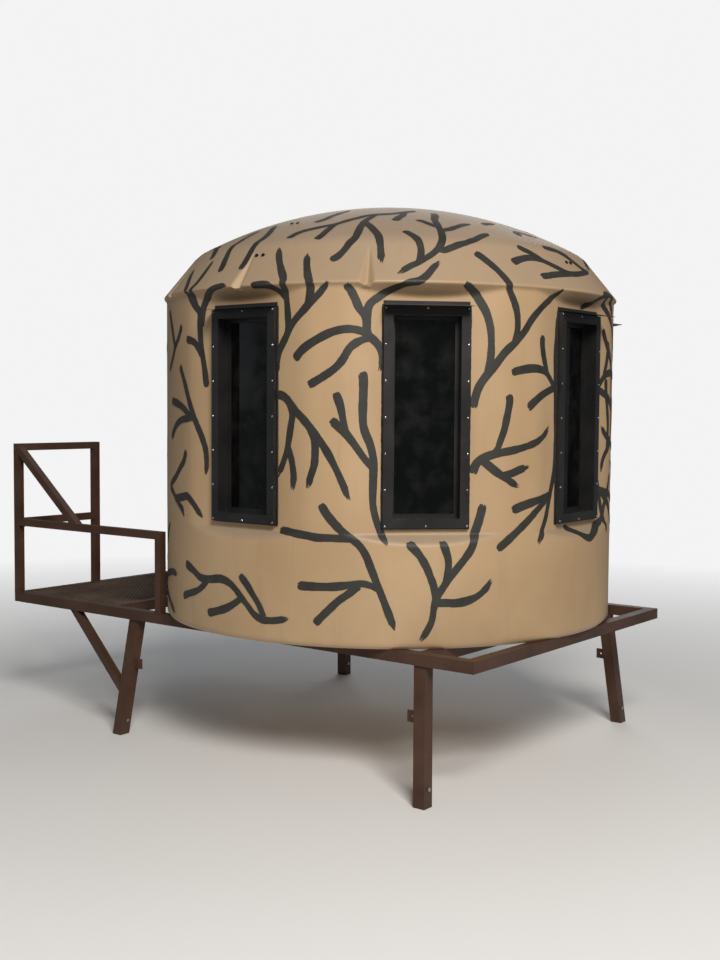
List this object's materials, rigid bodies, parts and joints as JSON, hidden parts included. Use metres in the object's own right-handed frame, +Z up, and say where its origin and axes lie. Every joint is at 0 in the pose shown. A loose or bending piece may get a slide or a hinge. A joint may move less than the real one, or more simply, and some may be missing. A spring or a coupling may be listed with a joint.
{
  "type": "field blind",
  "caption": "Round moulded tank blind with domed roof, tall hinged windows and a door, on a splayed steel stand with a railed mesh porch.",
  "frame": {"origin": "on the ground, under the middle of the overall size; the tank's axis is at x = 0.3655 m", "axes": "+X away from the porch along the frame, +Y to the left of someone who enters, +Z up"},
  "size_m": [3.033, 2.302, 2.623],
  "materials": {
    "tan_poly": "moulded polyethylene, satin, painted branches",
    "door_poly": "polyethylene sheet, satin",
    "floor_ply": "sealed plywood",
    "tinted_glass": "dark tinted, polished",
    "window_black": "dark grey coated, satin",
    "black_plastic": "moulded, matt",
    "black_screws": "blackened",
    "seal_rubber": "matt",
    "zinc": "zinc plated",
    "door_black": "black paint, satin",
    "deck_steel": "brown paint, worn by feet",
    "brown_steel": "brown paint, satin"
  },
  "bodies": {
    "blind": {"tank_shell": "tan_poly", "floor_panel": "floor_ply", "roof_bolts": "black_screws", "hold_down_bolts": "zinc", "frame_right": "window_black", "frame_back_right": "window_black", "frame_back": "window_black", "frame_back_left": "window_black", "frame_left": "window_black", "window_inner_rings": "window_black", "window_seals": "seal_rubber", "sash_hinge_pins": "zinc", "window_screws": "zinc", "rain_hoods": "window_black", "door_frame": "door_black", "door_hinge_brackets": "door_black", "door_hinge_pins": "zinc", "door_seal": "seal_rubber", "side_rail_right": "brown_steel", "side_rail_left": "brown_steel", "end_rail_deck": "brown_steel", "end_rail_back": "brown_steel", "cross_tubes": "brown_steel", "deck_stringers": "brown_steel", "deck_mesh": "deck_steel", "tube_caps": "black_plastic", "leg_deck_right": "brown_steel", "leg_deck_left": "brown_steel", "leg_back_right": "brown_steel", "leg_back_left": "brown_steel", "leg_brace_right": "brown_steel", "leg_brace_left": "brown_steel", "brace_tabs": "brown_steel", "leg_bolts": "zinc", "guard_posts_right": "brown_steel", "guard_posts_left": "brown_steel", "guard_rails_right": "brown_steel", "guard_rails_left": "brown_steel", "guard_brace_right": "brown_steel", "guard_brace_left": "brown_steel"},
    "door": {"door_panel": "door_poly", "door_straps": "door_black"},
    "door_handle": {"door_handle": "door_black"},
    "sash_right": {"sash_right": "window_black", "glass_right": "tinted_glass"},
    "latch_right": {"latch_right": "black_plastic"},
    "sash_back_right": {"sash_back_right": "window_black", "glass_back_right": "tinted_glass"},
    "latch_back_right": {"latch_back_right": "black_plastic"},
    "sash_back": {"sash_back": "window_black", "glass_back": "tinted_glass"},
    "latch_back": {"latch_back": "black_plastic"},
    "sash_back_left": {"sash_back_left": "window_black", "glass_back_left": "tinted_glass"},
    "latch_back_left": {"latch_back_left": "black_plastic"},
    "sash_left": {"sash_left": "window_black", "glass_left": "tinted_glass"},
    "latch_left": {"latch_left": "black_plastic"}
  },
  "joints": [
    {"name": "door_swing", "type": "hinge", "parent": "blind", "child": "door", "pos_m": [-0.7113, -0.3095, 1.388], "axis": [0, 0, 1], "range_deg": [0, 110]},
    {"name": "door_handle_turn", "type": "hinge", "parent": "door", "child": "door_handle", "pos_m": [-0.7253, 0.25, 1.388], "axis": [-1, 0, 0], "range_deg": [0, 90]},
    {"name": "sash_swing_right", "type": "hinge", "parent": "blind", "child": "sash_right", "pos_m": [0.5405, -1.0002, 1.6065], "axis": [0, 0, -1], "range_deg": [0, 110]},
    {"name": "latch_turn_right", "type": "hinge", "parent": "blind", "child": "latch_right", "pos_m": [0.1825, -0.9937, 1.6065], "axis": [0, 1, 0], "range_deg": [0, 90]},
    {"name": "sash_swing_back_right", "type": "hinge", "parent": "blind", "child": "sash_back_right", "pos_m": [1.19649, -0.58351, 1.6065], "axis": [0, 0, -1], "range_deg": [0, 110]},
    {"name": "latch_turn_back_right", "type": "hinge", "parent": "blind", "child": "latch_back_right", "pos_m": [0.93875, -0.83205, 1.6065], "axis": [-0.7071, 0.7071, 0], "range_deg": [0, 90]},
    {"name": "sash_swing_back", "type": "hinge", "parent": "blind", "child": "sash_back", "pos_m": [1.3657, 0.175, 1.6065], "axis": [0, 0, -1], "range_deg": [0, 110]},
    {"name": "latch_turn_back", "type": "hinge", "parent": "blind", "child": "latch_back", "pos_m": [1.3592, -0.183, 1.6065], "axis": [-1, 0, 0], "range_deg": [0, 90]},
    {"name": "sash_swing_back_left", "type": "hinge", "parent": "blind", "child": "sash_back_left", "pos_m": [0.949, 0.83099, 1.6065], "axis": [0, 0, -1], "range_deg": [0, 110]},
    {"name": "latch_turn_back_left", "type": "hinge", "parent": "blind", "child": "latch_back_left", "pos_m": [1.19755, 0.57325, 1.6065], "axis": [-0.7071, -0.7071, 0], "range_deg": [0, 90]},
    {"name": "sash_swing_left", "type": "hinge", "parent": "blind", "child": "sash_left", "pos_m": [0.1905, 1.0002, 1.6065], "axis": [0, 0, -1], "range_deg": [0, 110]},
    {"name": "latch_turn_left", "type": "hinge", "parent": "blind", "child": "latch_left", "pos_m": [0.5485, 0.9937, 1.6065], "axis": [0, -1, 0], "range_deg": [0, 90]}
  ]
}
